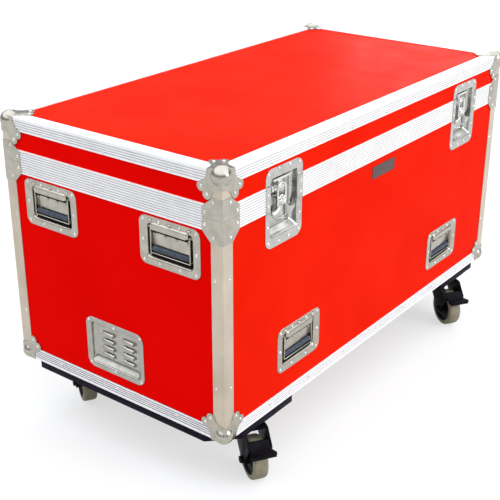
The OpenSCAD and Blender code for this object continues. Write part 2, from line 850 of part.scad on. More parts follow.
module over_seam_leaf(z0, z1) {
    intersection() {
        over_seam(hinge_w, base_h - leaf_down, base_h + leaf_up, leaf_t);
        sheet(-9, 9) translate([-hinge_w / 2, z0]) square([hinge_w, z1 - z0]);
    }
}

module hinge_pins() {
    stand() color("silver") at_hinges() translate([-hinge_w / 2 - 2, -hinge_out, base_h]) rotate([0, 90, 0])
        cylinder(d = hinge_pin_d, h = hinge_w + 4);
}

// Castors

module castor_boards() {
    x0 = -case_l / 2;
    x1 = x0 + board_w;
    y = case_w / 2;
    c = board_chamfer;
    stand() color("black") for (k = [0, 1]) rotate([0, 0, 180 * k]) difference() {
        translate([0, 0, -board_t]) linear_extrude(board_t) polygon([[x0 + c, -y], [x1, -y], [x1, y],
            [x0 + c, y], [x0, y - c], [x0, c - y]]);
        for (s = [-1, 1]) translate([x0 + (lobe_a + lobe_b) / 2 - 2, s * (y - (lobe_a + lobe_b) / 2 + 2), -4])
            cylinder(r = pocket_r, h = 5);
    }
}

// Castor frame: the swivel axis upright at the origin of x and y, the trail towards -y
module at_castor(k) {
    translate([corner_signs[k][0] * (case_l / 2 - castor_in_x), corner_signs[k][1] * (case_w / 2 - castor_in_y), 0])
        rotate([0, 0, trail_turn]) children();
}

module castor_plates() {
    bolt_x = 40;
    bolt_y = 30;
    plate_z = -board_t - castor_plate_t;
    stand() color("black") for (k = sides) at_castor(k) rotate([0, 0, -trail_turn]) {
        translate([0, 0, plate_z]) linear_extrude(castor_plate_t) round_rect(plate_l, plate_w, 8);
        translate([0, 0, plate_z - race_t]) cylinder(r = race_r, h = race_t + eps);
        translate([0, 0, fork_top - fork_head_t - 2]) cylinder(r = kingpin_r, h = fork_head_t + race_t + 2.5);
        translate([0, 0, fork_top - fork_head_t - 5.8]) cylinder(r = kingpin_r + 4, h = 5.5);
        for (sx = [-1, 1], sy = [-1, 1]) translate([sx * bolt_x, sy * bolt_y, plate_z - 3.5])
            cylinder(r = 6.5, h = 3.6, $fn = 6);
    }
}

// Side plate of a fork in trail and height: wide head, then a leg down to the axle
module fork_side() {
    heel = 28;
    nose = 47;
    shoulder = 74;
    boss = 14;
    polygon([[-heel, fork_top], [nose, fork_top], [shoulder, fork_top - 34], [shoulder, fork_top - 39],
        [trail + boss - 1, axle_z + 4], [trail - boss + 1, axle_z + 4], [-heel, fork_top - 16]]);
    translate([trail, axle_z]) circle(boss);
}

module castor_fork(k) {
    nut_h = 6;
    head_nose = 47;
    stand() at_castor(k) color("black") {
        difference() {
            union() {
                translate([0, 0, fork_top - fork_head_t]) linear_extrude(fork_head_t) {
                    circle(fork_half);
                    translate([-fork_half, -head_nose]) square([2 * fork_half, head_nose + 15]);
                }
                for (x = [-fork_half, fork_half - fork_t]) translate([x, 0, 0]) rotate([90, 0, 90])
                    linear_extrude(fork_t) mirror([1, 0]) fork_side();
            }
            translate([0, 0, -ride_h]) cylinder(r = kingpin_r + run_fit, h = ride_h);
            translate([-fork_half - 1, -trail, axle_z]) rotate([0, 90, 0])
                cylinder(r = axle_r + run_fit, h = 2 * fork_half + 2);
            if (k < 2) translate([-fork_half - 1, pedal_pin_y, pedal_pin_z]) rotate([0, 90, 0])
                cylinder(r = pedal_pin_r + run_fit, h = 2 * fork_half + 2);
        }
        translate([-fork_half - nut_h, -trail, axle_z]) rotate([0, 90, 0]) {
            cylinder(r = axle_r, h = 2 * (fork_half + nut_h));
            cylinder(r = axle_r + 4, h = nut_h, $fn = 6);
            translate([0, 0, 2 * fork_half + nut_h]) cylinder(r = axle_r + 4, h = nut_h, $fn = 6);
        }
    }
}

module castor_wheel(k) {
    hub_half = fork_half - fork_t - 1;
    stand() at_castor(k) translate([0, -trail, axle_z]) rotate([0, 90, 0]) {
        color("black") rotate_extrude() difference() {
            union() {
                translate([axle_r + run_fit, -hub_half]) square([8, 2 * hub_half]);
                translate([axle_r + run_fit, -wheel_w / 2 + 2]) square([wheel_core_r - axle_r - run_fit, wheel_w - 4]);
            }
            for (s = [-1, 1]) translate([axle_r + 14, s * (wheel_w / 2 - 2) - 3]) square([wheel_core_r - axle_r - 19, 6]);
        }
        color("darkkhaki") rotate_extrude($fn = 96) translate([wheel_core_r, 0]) {
            edge = 4;
            width = wheel_d / 2 - wheel_core_r;
            translate([0, -wheel_w / 2]) square([width - edge, wheel_w]);
            translate([width - edge - eps, -wheel_w / 2 + edge]) square([edge + eps, wheel_w - 2 * edge]);
            for (s = [-1, 1]) translate([width - edge, s * (wheel_w / 2 - edge)]) circle(edge);
        }
    }
}

// Brake pedal: a neck on a pin between the fork's sides, and a flat toe that widens to its front corners
module castor_pedal(k) {
    inner = fork_half - fork_t - 0.6;
    neck = -79;
    toe_z = pedal_pin_z - 12;
    stand() at_castor(k) color("black") {
        translate([-fork_half, pedal_pin_y, pedal_pin_z]) rotate([0, 90, 0]) cylinder(r = pedal_pin_r, h = 2 * fork_half);
        translate([-inner, 0, 0]) rotate([90, 0, 90]) linear_extrude(2 * inner) {
            translate([pedal_pin_y, pedal_pin_z]) circle(5.2);
            polygon([[pedal_pin_y - 2, pedal_pin_z + 4.5], [neck, toe_z + pedal_t], [neck - 2, toe_z],
                [neck + 4, toe_z], [pedal_pin_y, pedal_pin_z - 4.5]]);
        }
        translate([0, 0, toe_z]) linear_extrude(pedal_t) polygon([[inner, neck + 1], [pedal_half, 6 - pedal_reach],
            [pedal_half - 2, -pedal_reach], [2 - pedal_half, -pedal_reach], [-pedal_half, 6 - pedal_reach],
            [-inner, neck + 1]]);
        translate([3 - pedal_half, -pedal_reach, toe_z - 5]) cube([2 * pedal_half - 6, 3, 6]);
    }
}

// Rivets

module long_side_rivets(z) {
    for (i = [-3:3]) rivet(i * 0.1225 * case_l, 0, z);
}

module end_rivets(z) {
    for (i = [-1:1]) rivet(i * 0.287 * case_w, 0, z);
}

module edge_rivets(z) {
    for (side = sides) face(side) if (side % 2 == 0) long_side_rivets(z);
    else end_rivets(z);
}

// Rivets on both faces of every vertical edge
module corner_rivets(spots, d) {
    for (side = sides) face(side) for (s = [-1, 1], p = spots) rivet(s * (face_len(side) / 2 - p[0]), d, p[1]);
}

module base_rivets() {
    flat = trim_t - plate_t;
    side_x = latch_w / 2 - 7;
    stand() color("silver") {
        edge_rivets(19);
        corner_rivets([[21.5, 126], [21.5, base_h - 129]], 0);
        corner_rivets([[lobe_a, lobe_b], [lobe_b, lobe_a]], -plate_t);
        corner_rivets([[44, base_h - 14], [22.5, base_h - brace_down + 12.5]], -plate_t);
        for (i = [0:7]) at_handle(i) {
            for (sx = [-1, 1], sz = [-1, 1]) rivet(sx * (handle_w / 2 - 11), flat, sz * (handle_h / 2 - 9));
            for (sx = [-1, 1]) rivet(sx * (handle_w / 2 - 9.5), flat, 0);
            for (sx = [-1, 1], sz = [-1, 1]) rivet(sx * 27, flat, sz * (handle_h / 2 - 8.5));
        }
        for (side = [1, 3]) face(side) translate([0, 0, vent_up])
            for (x = [-vent_w / 2 + 9, 0, vent_w / 2 - 9], s = [-1, 1]) rivet(x, flat, s * (vent_h / 2 - 9));
        at_latches() {
            for (s = [-1, 1]) {
                rivet(s * (side_x - 3), flat, latch_foot + 13.5);
                rivet(s * 18, flat, latch_foot + 9);
                rivet(s * side_x, flat, latch_foot + 49);
                rivet(s * side_x, -plate_t, base_h - 13);
            }
        }
        at_hinges() for (x = [-1, 0, 1] * (hinge_w / 2 - 12)) {
            rivet(x, -leaf_t, base_h - 18);
            rivet(x, trim_t - leaf_t, base_h - leaf_down + 12);
        }
    }
}

module lid_rivets() {
    flat = trim_t - plate_t;
    side_x = latch_w / 2 - 7;
    stand() color("silver") {
        edge_rivets(case_h - 24);
        corner_rivets([[lobe_a, case_h - lobe_b], [lobe_b, case_h - lobe_a]], -plate_t);
        corner_rivets([[43.6, base_h + 12], [23, base_h + brace_up - 9.5]], -plate_t);
        at_edges() for (p = [[lobe_a, lobe_b], [lobe_b, lobe_a]])
            translate([p[0], p[1], case_h]) rotate([-90, 0, 0]) rivet(0, -plate_t, 0);
        at_latches() for (s = [-1, 1]) {
            rivet(s * (side_x - 3), flat, latch_top - 10);
            rivet(s * 18, flat, latch_top - 5.5);
            rivet(s * side_x, -plate_t, base_h + 10.5);
        }
        at_hinges() for (x = [-1, 0, 1] * (hinge_w / 2 - 12)) {
            rivet(x, -leaf_t, base_h + 18);
            rivet(x, trim_t - leaf_t, base_h + leaf_up - 12);
        }
    }
}

base_front_panel();
base_back_panel();
base_end_panels();
base_floor_panel();
bottom_edge_trim();
base_corner_trim();
base_seam_trim();
base_ball_corners();
base_corner_braces();
base_rivets();
latch_dishes_lower();
latch_backing_plates();
side_handle_dishes();
end_handle_dishes();
handle_pins();
vent_dishes();
label_plate();
castor_boards();
castor_plates();
hinge_leaves_base();
hinge_pins();
lid_top_panel();
lid_side_panels();
lid_edge_trim();
lid_corner_trim();
lid_seam_trim();
lid_ball_corners();
lid_corner_braces();
lid_rivets();
latch_dishes_upper();
latch_keepers();
hinge_leaves_lid();
bail(0);  // bail_front_left
bail(1);  // bail_front_right
bail(2);  // bail_right_front
bail(3);  // bail_right_back
bail(4);  // bail_back_right
bail(5);  // bail_back_left
bail(6);  // bail_left_back
bail(7);  // bail_left_front
latch_rotor(-1);  // latch_rotor_left
latch_rotor(1);  // latch_rotor_right
latch_hook(-1);  // latch_hook_left
latch_hook(1);  // latch_hook_right
latch_wing(-1, -1);  // wing_left_a
latch_wing(-1, 1);  // wing_left_b
latch_wing(1, -1);  // wing_right_a
latch_wing(1, 1);  // wing_right_b
castor_fork(0);  // fork_front_left
castor_fork(1);  // fork_front_right
castor_fork(2);  // fork_back_right
castor_fork(3);  // fork_back_left
castor_wheel(0);  // wheel_front_left
castor_wheel(1);  // wheel_front_right
castor_wheel(2);  // wheel_back_right
castor_wheel(3);  // wheel_back_left
castor_pedal(0);  // pedal_left
castor_pedal(1);  // pedal_right
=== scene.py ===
# Tack trunk: finishes, pressed dishes, rounded hardware and the studio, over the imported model.
import json
import math

import bmesh
import bpy
from mathutils import Matrix, Vector


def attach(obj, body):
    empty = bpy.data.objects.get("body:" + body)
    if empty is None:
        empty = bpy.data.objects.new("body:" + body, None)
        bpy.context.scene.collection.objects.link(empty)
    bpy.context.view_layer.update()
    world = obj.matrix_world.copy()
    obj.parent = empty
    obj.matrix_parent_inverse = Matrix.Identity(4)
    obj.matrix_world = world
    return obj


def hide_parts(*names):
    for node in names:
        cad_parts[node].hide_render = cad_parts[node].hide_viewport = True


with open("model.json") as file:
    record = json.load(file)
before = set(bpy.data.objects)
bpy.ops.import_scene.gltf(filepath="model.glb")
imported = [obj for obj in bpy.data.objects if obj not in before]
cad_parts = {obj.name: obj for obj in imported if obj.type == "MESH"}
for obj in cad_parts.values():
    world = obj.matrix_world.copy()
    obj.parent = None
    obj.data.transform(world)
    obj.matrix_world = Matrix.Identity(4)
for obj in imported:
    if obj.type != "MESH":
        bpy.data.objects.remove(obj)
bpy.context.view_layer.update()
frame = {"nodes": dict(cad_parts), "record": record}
scene = bpy.context.scene
scene.view_settings.view_transform = "Standard"

# The case in millimetres, in the frame of each side: x along it, y inwards from the trim's face, z up
case = {
    "length": 1200, "width": 620, "height": 600, "seam": 500, "shift": 21.336, "ride": 157,
    "trim": 1.6, "bandLow": 472.5, "bandHigh": 527.5,
}
mm = 0.001


# Sides are counted from the front: 0 front, 1 right end, 2 back, 3 left end
def sidePlace(side, x=0, z=0):
    reach = case["width"] / 2 if side % 2 == 0 else case["length"] / 2
    return (Matrix.Scale(mm, 4) @ Matrix.Translation((0, case["shift"], case["ride"]))
            @ Matrix.Rotation(math.radians(90 * side), 4, "Z") @ Matrix.Translation((x, -reach, z)))


# Studio

studio = {
    "lens": 73.07, "sensor": 36, "clip": (0.05, 80), "spot": (-1.9728, -1.4005, 1.3907),
    "right": (0.607147, -0.794588, 0.001798), "up": (0.323429, 0.249199, 0.912849),
    "back": (-0.725787, -0.553652, 0.408293),
    "skyTint": (0.97, 0.995, 1.04, 1), "horizon": 0.42, "zenith": 2.2, "skyLow": 0.34, "skyHigh": 0.52,
    "floorSize": 20, "floorTint": (0.3, 0.3, 0.3, 1), "floorRough": 0.9, "floorLift": 0.6,
    # name: place, aim, size, watts
    "lamps": {
        "frontLamp": ((0.9, -4.6, 2.2), (0.1, 0, 0.4), 1.8, 110),
        "glowLamp": ((3.06, 1.16, 1.36), (0.45, -0.1, 0.75), 1.0, 9),
    },
}


def addCamera():
    camera = bpy.data.objects.new("photoCamera", bpy.data.cameras.new("photoCamera"))
    camera.data.lens, camera.data.sensor_width = studio["lens"], studio["sensor"]
    camera.data.clip_start, camera.data.clip_end = studio["clip"]
    turn = Matrix((studio["right"], studio["up"], studio["back"])).transposed()
    camera.matrix_world = Matrix.Translation(studio["spot"]) @ turn.to_4x4()
    scene.collection.objects.link(camera)
    scene.camera = camera


def addLamps():
    for name, (spot, aim, size, watts) in studio["lamps"].items():
        lamp = bpy.data.objects.new(name, bpy.data.lights.new(name, "AREA"))
        lamp.data.shape, lamp.data.size, lamp.data.energy = "SQUARE", size, watts
        lamp.location = spot
        lamp.rotation_euler = (Vector(aim) - Vector(spot)).to_track_quat("-Z", "Y").to_euler()
        scene.collection.objects.link(lamp)


def addSky():
    world = bpy.data.worlds.new("studioSky")
    world.use_nodes = True
    scene.world = world
    tree = world.node_tree
    where = tree.nodes.new("ShaderNodeTexCoord")
    split = tree.nodes.new("ShaderNodeSeparateXYZ")
    height = tree.nodes.new("ShaderNodeMapRange")
    height.interpolation_type = "SMOOTHSTEP"
    limits = {"From Min": "skyLow", "From Max": "skyHigh", "To Min": "horizon", "To Max": "zenith"}
    for socket, key in limits.items():
        height.inputs[socket].default_value = studio[key]
    tree.links.new(where.outputs["Generated"], split.inputs[0])
    tree.links.new(split.outputs["Z"], height.inputs["Value"])
    tree.links.new(height.outputs[0], tree.nodes["Background"].inputs["Strength"])
    tree.nodes["Background"].inputs["Color"].default_value = studio["skyTint"]


def newFinish(name):
    material = bpy.data.materials.new(name)
    material.use_nodes = True
    return material, material.node_tree, material.node_tree.nodes["Principled BSDF"]


def eitherOf(tree, first, second):
    either = tree.nodes.new("ShaderNodeMath")
    either.operation, either.use_clamp = "ADD", True
    tree.links.new(first, either.inputs[0])
    tree.links.new(second, either.inputs[1])
    return either.outputs[0]


def addFloor():
    bm = bmesh.new()
    bmesh.ops.create_grid(bm, x_segments=1, y_segments=1, size=studio["floorSize"])
    floor = bpy.data.objects.new("studioFloor", bpy.data.meshes.new("studioFloor"))
    bm.to_mesh(floor.data)
    bm.free()
    material, tree, shader = newFinish("paperWhite")
    shader.inputs["Base Color"].default_value = studio["floorTint"]
    shader.inputs["Roughness"].default_value = studio["floorRough"]
    shader.inputs["Specular IOR Level"].default_value = 0
    # Lifts the paper to white where it is seen or reflected, and keeps the shadow that falls on it
    rays = tree.nodes.new("ShaderNodeLightPath")
    seen = eitherOf(tree, rays.outputs["Is Camera Ray"], rays.outputs["Is Glossy Ray"])
    lift = tree.nodes.new("ShaderNodeMath")
    lift.operation = "MULTIPLY"
    lift.inputs[1].default_value = studio["floorLift"]
    tree.links.new(eitherOf(tree, seen, rays.outputs["Is Transmission Ray"]), lift.inputs[0])
    tree.links.new(lift.outputs[0], shader.inputs["Emission Strength"])
    shader.inputs["Emission Color"].default_value = (1, 1, 1, 1)
    floor.data.materials.append(material)
    scene.collection.objects.link(floor)


addCamera()
addLamps()
addSky()
addFloor()
print("studio ready")


# Finishes

def noiseAt(tree, scale, detail, stretch=(1, 1, 1)):
    where = tree.nodes.new("ShaderNodeTexCoord")
    place = tree.nodes.new("ShaderNodeMapping")
    place.inputs["Scale"].default_value = stretch
    noise = tree.nodes.new("ShaderNodeTexNoise")
    noise.inputs["Scale"].default_value, noise.inputs["Detail"].default_value = scale, detail
    tree.links.new(where.outputs["Object"], place.inputs[0])
    tree.links.new(place.outputs[0], noise.inputs["Vector"])
    return noise.outputs["Fac"]


def tintBetween(tree, value, dark, light):
    ramp = tree.nodes.new("ShaderNodeValToRGB")
    for stop, place, tint in zip(ramp.color_ramp.elements, (0.35, 0.65), (dark, light)):
        stop.position, stop.color = place, (*tint, 1)
    tree.links.new(value, ramp.inputs[0])
    return ramp.outputs[0]


def spread(tree, value, low, high):
    fit = tree.nodes.new("ShaderNodeMapRange")
    for socket, limit in (("From Min", 0.3), ("From Max", 0.7), ("To Min", low), ("To Max", high)):
        fit.inputs[socket].default_value = limit
    tree.links.new(value, fit.inputs["Value"])
    return fit.outputs[0]


def bumpFrom(tree, shader, value, strength, distance):
    bump = tree.nodes.new("ShaderNodeBump")
    bump.inputs["Strength"].default_value, bump.inputs["Distance"].default_value = strength, distance
    tree.links.new(value, bump.inputs["Height"])
    tree.links.new(bump.outputs[0], shader.inputs["Normal"])


# dark and light: the two tints that drift over it; clouds: scale of that drift; rough: lowest and highest;
# grain: scale of the surface grain; stretch: its shares along x, y and z; bump: strength and height in metres;
# shine: level of the sheen, where it is less than usual
finishRecipes = {
    "redLaminate": {"dark": (0.70, 0.009, 0.001), "light": (0.76, 0.013, 0.002), "metal": 0,
                    "rough": (0.34, 0.44), "clouds": 5, "grain": 900, "bump": (0.16, 0.0002), "shine": 0.007},
    "ribbedAluminium": {"dark": (0.84, 0.84, 0.85), "light": (0.90, 0.90, 0.91), "metal": 0.3,
                        "rough": (0.30, 0.40), "clouds": 14, "grain": 700, "bump": (0.04, 0.0001)},
    # Painted shade for the faces inside the grooves and along the seam
    "paintedGrooveShade": {"dark": (0.47, 0.455, 0.45), "light": (0.57, 0.555, 0.55), "metal": 0.2,
                    "rough": (0.5, 0.62), "clouds": 30, "grain": 700, "bump": (0.06, 0.0001)},
    # Darker painted shade for the grooves of the bottom trim on the ends of the case
    "paintedDeepGrooveShade": {"dark": (0.17, 0.155, 0.185), "light": (0.25, 0.23, 0.27), "metal": 0.2,
                   "rough": (0.5, 0.62), "clouds": 30, "grain": 700, "bump": (0.06, 0.0001)},
    "satinAluminium": {"dark": (0.48, 0.415, 0.33), "light": (0.58, 0.51, 0.415), "metal": 0.85,
                       "rough": (0.32, 0.42), "clouds": 12, "grain": 800, "stretch": (1, 1, 0.03),
                       "bump": (0.12, 0.0001)},
    "platedSteel": {"dark": (0.37, 0.35, 0.30), "light": (0.44, 0.42, 0.365), "metal": 1,
                    "rough": (0.20, 0.30), "clouds": 45, "grain": 380, "bump": (0.06, 0.0002)},
    "latchSteel": {"dark": (0.41, 0.408, 0.38), "light": (0.505, 0.502, 0.475), "metal": 1,
                   "rough": (0.18, 0.28), "clouds": 45, "grain": 380, "bump": (0.06, 0.0002)},
    "ventSteel": {"dark": (0.33, 0.325, 0.29), "light": (0.40, 0.395, 0.355), "metal": 1,
                  "rough": (0.18, 0.28), "clouds": 45, "grain": 380, "bump": (0.06, 0.0002)},
    "brightSteel": {"dark": (0.58, 0.57, 0.55), "light": (0.74, 0.73, 0.71), "metal": 1,
                    "rough": (0.14, 0.26), "clouds": 60, "grain": 420, "bump": (0.08, 0.0002)},
    "blackPaint": {"dark": (0.002, 0.0018, 0.0025), "light": (0.006, 0.0055, 0.008), "metal": 0,
                   "rough": (0.32, 0.5), "clouds": 30, "grain": 260, "bump": (0.18, 0.0003), "shine": 0.05},
    "blackBoard": {"dark": (0.005, 0.004, 0.009), "light": (0.012, 0.009, 0.018), "metal": 0,
                   "rough": (0.45, 0.62), "clouds": 18, "grain": 520, "bump": (0.3, 0.0003), "shine": 0.05},
    "gripRubber": {"dark": (0.022, 0.033, 0.056), "light": (0.042, 0.058, 0.090), "metal": 0,
                   "rough": (0.34, 0.5), "clouds": 60, "grain": 700, "bump": (0.2, 0.0002)},
    "treadRubber": {"dark": (0.185, 0.165, 0.108), "light": (0.26, 0.235, 0.158), "metal": 0,
                    "rough": (0.5, 0.68), "clouds": 40, "grain": 600, "bump": (0.25, 0.0003)},
    "labelPlate": {"dark": (0.030, 0.010, 0.010), "light": (0.055, 0.020, 0.018), "metal": 0,
                   "rough": (0.3, 0.45), "clouds": 60, "grain": 500, "bump": (0.15, 0.0002)},
}
# Painted shade for the end panels: beyond this reach from the middle, the red is multiplied by the factor
paintedEndShade = {"beyond": 0.597, "factor": (1.12, 0.12, 0.2, 1)}


# Painted shade: the end panels get a deeper, less sheeny red than the front and the top, standing in for the
# light that falls less on the ends
def paintEndShade(tree, shader):
    where = tree.nodes.new("ShaderNodeTexCoord")
    split = tree.nodes.new("ShaderNodeSeparateXYZ")
    reach = tree.nodes.new("ShaderNodeMath")
    reach.operation = "ABSOLUTE"
    atEnd = tree.nodes.new("ShaderNodeMath")
    atEnd.operation = "GREATER_THAN"
    atEnd.inputs[1].default_value = paintedEndShade["beyond"]
    deeper = tree.nodes.new("ShaderNodeMix")
    deeper.data_type, deeper.blend_type = "RGBA", "MULTIPLY"
    deeper.inputs["B"].default_value = paintedEndShade["factor"]
    base = shader.inputs["Base Color"].links[0].from_socket
    tree.links.new(where.outputs["Object"], split.inputs[0])
    tree.links.new(split.outputs["X"], reach.inputs[0])
    tree.links.new(reach.outputs[0], atEnd.inputs[0])
    tree.links.new(atEnd.outputs[0], deeper.inputs["Factor"])
    tree.links.new(base, deeper.inputs["A"])
    tree.links.new(deeper.outputs["Result"], shader.inputs["Base Color"])


def mixFinish(name):
    recipe = finishRecipes[name]
    material, tree, shader = newFinish(name)
    cloud = noiseAt(tree, recipe["clouds"], 4)
    wear = noiseAt(tree, recipe["clouds"] * 2.3, 3)
    grain = noiseAt(tree, recipe["grain"], 2, recipe.get("stretch", (1, 1, 1)))
    tree.links.new(tintBetween(tree, cloud, recipe["dark"], recipe["light"]), shader.inputs["Base Color"])
    tree.links.new(spread(tree, wear, *recipe["rough"]), shader.inputs["Roughness"])
    shader.inputs["Metallic"].default_value = recipe["metal"]
    if "shine" in recipe:
        shader.inputs["Specular IOR Level"].default_value = recipe["shine"]
    # the end panels get their painted shade here
    if name == "redLaminate":
        paintEndShade(tree, shader)
    bumpFrom(tree, shader, grain, *recipe["bump"])
    return material


finishes = {name: mixFinish(name) for name in finishRecipes}
slotFinish = {
    "red_ply": "redLaminate", "aluminium_trim": "ribbedAluminium", "zinc_steel": "platedSteel",
    "bail_steel": "brightSteel", "black_ply": "blackBoard", "black_steel": "blackPaint",
    "wheel_rubber": "treadRubber", "dark_plate": "labelPlate",
}
nodeSlot = {part["node"]: part["material_slot"] for part in frame["record"]["subparts"]}
nodeFinish = {name: slotFinish[slot] for name, slot in nodeSlot.items()}
nodeFinish.update({"base_corner_trim": "satinAluminium", "lid_corner_trim": "satinAluminium",
                   "latch_keepers": "brightSteel", "latch_backing_plates": "latchSteel"})
for nodeName, nodeObject in frame["nodes"].items():
    nodeObject.data.materials.clear()
    nodeObject.data.materials.append(finishes[nodeFinish[nodeName]])
print("finishes mixed")


# Shaping tools; a piece is shaped in millimetres and set in place by a matrix

def allOf(bm):
    return list(bm.verts) + list(bm.edges) + list(bm.faces)


def homeBody(node):
    for body, members in frame["record"]["behaviour"]["bodies"].items():
        if node in members:
            return body


def asMesh(bm):
    mesh = bpy.data.meshes.new("part")
    bm.to_mesh(mesh)
    bm.free()
    return mesh


def gatherAt(bm, source, matrix):
    start = len(bm.verts)
    bm.from_mesh(source)
    bm.verts.ensure_lookup_table()
    bmesh.ops.transform(bm, matrix=matrix, verts=bm.verts[start:])


def mergedCopy(node, flat=1.0):
    bm = bmesh.new()
    bm.from_mesh(frame["nodes"][node].data)
    bmesh.ops.remove_doubles(bm, verts=bm.verts, dist=0.000004)
    bmesh.ops.dissolve_limit(bm, angle_limit=math.radians(flat), verts=bm.verts, edges=bm.edges)
    return bm


def sharpEdges(bm, degrees):
    return [edge for edge in bm.edges
            if len(edge.link_faces) == 2 and edge.calc_face_angle(0) > math.radians(degrees)]


def roundOff(bm, edges, width, segments):
    bmesh.ops.bevel(bm, geom=edges, offset=width, offset_type="OFFSET", affect="EDGES", segments=segments,
                    profile=0.5, material=-1, clamp_overlap=True)


def bevelSharp(bm, width, segments=2, degrees=35):
    bmesh.ops.recalc_face_normals(bm, faces=bm.faces)
    roundOff(bm, sharpEdges(bm, degrees), width, segments)


def finishPiece(bm, name, finish, body, node, degrees=32):
    bmesh.ops.recalc_face_normals(bm, faces=bm.faces)
    for face in bm.faces:
        face.smooth = True
    for edge in bm.edges:
        edge.smooth = len(edge.link_faces) == 2 and edge.calc_face_angle(0) < math.radians(degrees)
    piece = bpy.data.objects.new(name, bpy.data.meshes.new(name))
    bm.to_mesh(piece.data)
    bm.free()
    piece.data.materials.append(finishes[finish])
    scene.collection.objects.link(piece)
    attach(piece, body)
    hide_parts(node)
    return piece


def outwardFrom(bm, face):
    bmesh.ops.recalc_face_normals(bm, faces=bm.faces)
    if face.normal.y > 0:
        bmesh.ops.reverse_faces(bm, faces=bm.faces)


def addShell(bm, thickness):
    bmesh.ops.solidify(bm, geom=list(bm.faces), thickness=thickness)


def addDome(bm, place, size):
    made = bmesh.ops.create_uvsphere(bm, u_segments=14, v_segments=8, radius=1)
    bmesh.ops.scale(bm, vec=size, verts=made["verts"])
    bmesh.ops.translate(bm, vec=place, verts=made["verts"])


# Draws out one face by a vector and keeps the face it started from
def drawOut(bm, face, vec):
    grown = bmesh.ops.extrude_face_region(bm, geom=[face])["geom"]
    bmesh.ops.translate(bm, vec=vec, verts=[item for item in grown if isinstance(item, bmesh.types.BMVert)])


# Extrudes a closed outline in depth and height along x
def runAlong(bm, outline, left, right):
    face = bm.faces.new([bm.verts.new((left, depth, height)) for depth, height in outline])
    drawOut(bm, face, (right - left, 0, 0))


def runBar(bm, front, back, low, high, half):
    runAlong(bm, [(front, high), (front, low), (back, low), (back, high)], -half, half)


# A flank runs from the middle out to one side; this adds its mirror image and closes the outline
def closedOutline(flank):
    outline = [(-x, radius) for x, radius in flank[::-1]] + list(flank)
    return outline + outline[:1]


# Turns an outline of places along an axis and radii about that axis through a centre
def turnOnLathe(bm, outline, centre, axis, steps):
    along, out = {"x": (0, 2), "y": (1, 0), "z": (2, 0)}[axis]
    verts = []
    for place, radius in outline:
        point = list(centre)
        point[along] += place
        point[out] += radius
        verts.append(bm.verts.new(point))
    edges = [bm.edges.new(pair) for pair in zip(verts, verts[1:])]
    bmesh.ops.spin(bm, geom=verts + edges, cent=centre, axis=[float(i == along) for i in range(3)],
                   dvec=(0, 0, 0), angle=2 * math.pi, steps=steps, use_merge=True, use_duplicate=False)
    bmesh.ops.remove_doubles(bm, verts=bm.verts, dist=0.0005)


def roundedLoop(bm, left, right, low, high, radius, depth):
    spots = ((left, low), (right, low), (right, high), (left, high))
    corners = [bm.verts.new((x, depth, z)) for x, z in spots]
    bm.faces.new(corners)
    made = bmesh.ops.bevel(bm, geom=corners, offset=radius, offset_type="OFFSET", affect="VERTICES",
                           segments=6, profile=0.5, material=-1)
    return made["verts"][0].link_faces[0]


# Bridges one flat face to the next, leaves the last one closed, and gives the sheet its thickness
def pressSheet(bm, faces, thickness):
    rims = [list(face.edges) for face in faces]
    bmesh.ops.delete(bm, geom=faces[:-1], context="FACES_ONLY")
    for outer, inner in zip(rims, rims[1:]):
        bmesh.ops.bridge_loops(bm, edges=outer + inner)
    outwardFrom(bm, faces[-1])
    if thickness:
        addShell(bm, thickness)


# Dishes: a flange with a rolled rim, a rounded mouth, and a hollow whose lower wall slopes

dishes = {
    "handle": {"width": 161, "height": 108, "corner": 17, "mouth": 60, "low": -36, "high": 36,
               "mouthCorner": 7, "depth": 17, "slope": 7, "lip": 4.5, "draft": 4.5, "sheet": 1.1},
    "vent": {"width": 172, "height": 127, "corner": 20, "mouth": 72.5, "low": -50, "high": 49,
             "mouthCorner": 9, "depth": 14, "slope": 11.5, "lip": 4, "draft": 6, "sheet": 1.1, "z": 116},
    "latch": {"width": 127, "height": 172, "corner": 20, "mouth": 46.5, "low": -61, "high": 63,
              "mouthCorner": 6, "depth": 18, "slope": 11, "lip": 3.5, "draft": 4, "sheet": 1.1,
              "x": 400, "z": 477},
    # how far each ring steps in, and its depth
    "rim": ((0, case["trim"]), (0, 0.5), (0.35, 0), (1, -0.25), (1.9, -0.2), (3, 0.1)),
    # shares of the lip's width that a ring stands outside the mouth and lies behind the flange
    "lipRoll": ((1, 0), (0.45, 0.16), (0.14, 0.48), (0, 1.0)),
    # share of the depth, share of the draft, and how far the foot's rounding steps in
    "hollow": ((0.35, 0.15, 0), (0.62, 0.4, 0), (0.8, 0.6, 0.4), (0.94, 0.8, 1.4), (1, 1, 3.2)),
}


def dishRings(dish):
    half, tall, corner = dish["width"] / 2, dish["height"] / 2, dish["corner"]
    mouth, low, high, mouthCorner = dish["mouth"], dish["low"], dish["high"], dish["mouthCorner"]
    lip, draft, flange = dish["lip"], dish["draft"], dishes["rim"][-1][1]
    rings = [(-half + t, half - t, -tall + t, tall - t, corner - t, d) for t, d in dishes["rim"]]
    for share, d in dishes["lipRoll"]:
        t = share * lip
        rings.append((-mouth - t, mouth + t, low - t, high + t, mouthCorner + t, flange + d * lip))
    start = rings[-1][-1]
    for part, pull, foot in dishes["hollow"]:
        depth = start + (dish["depth"] - start) * part
        rise = dish["slope"] * (depth - start) / (dish["depth"] - start)
        rings.append((-mouth + draft * pull + foot, mouth - draft * pull - foot, low + rise + foot * 0.7,
                      high - draft * pull * 0.5 - foot, max(mouthCorner - foot, 1.5), depth))
    return rings


def pressedDish(dish, thickness):
    bm = bmesh.new()
    pressSheet(bm, [roundedLoop(bm, *ring) for ring in dishRings(dish)], thickness)
    return bm


# Handle dishes

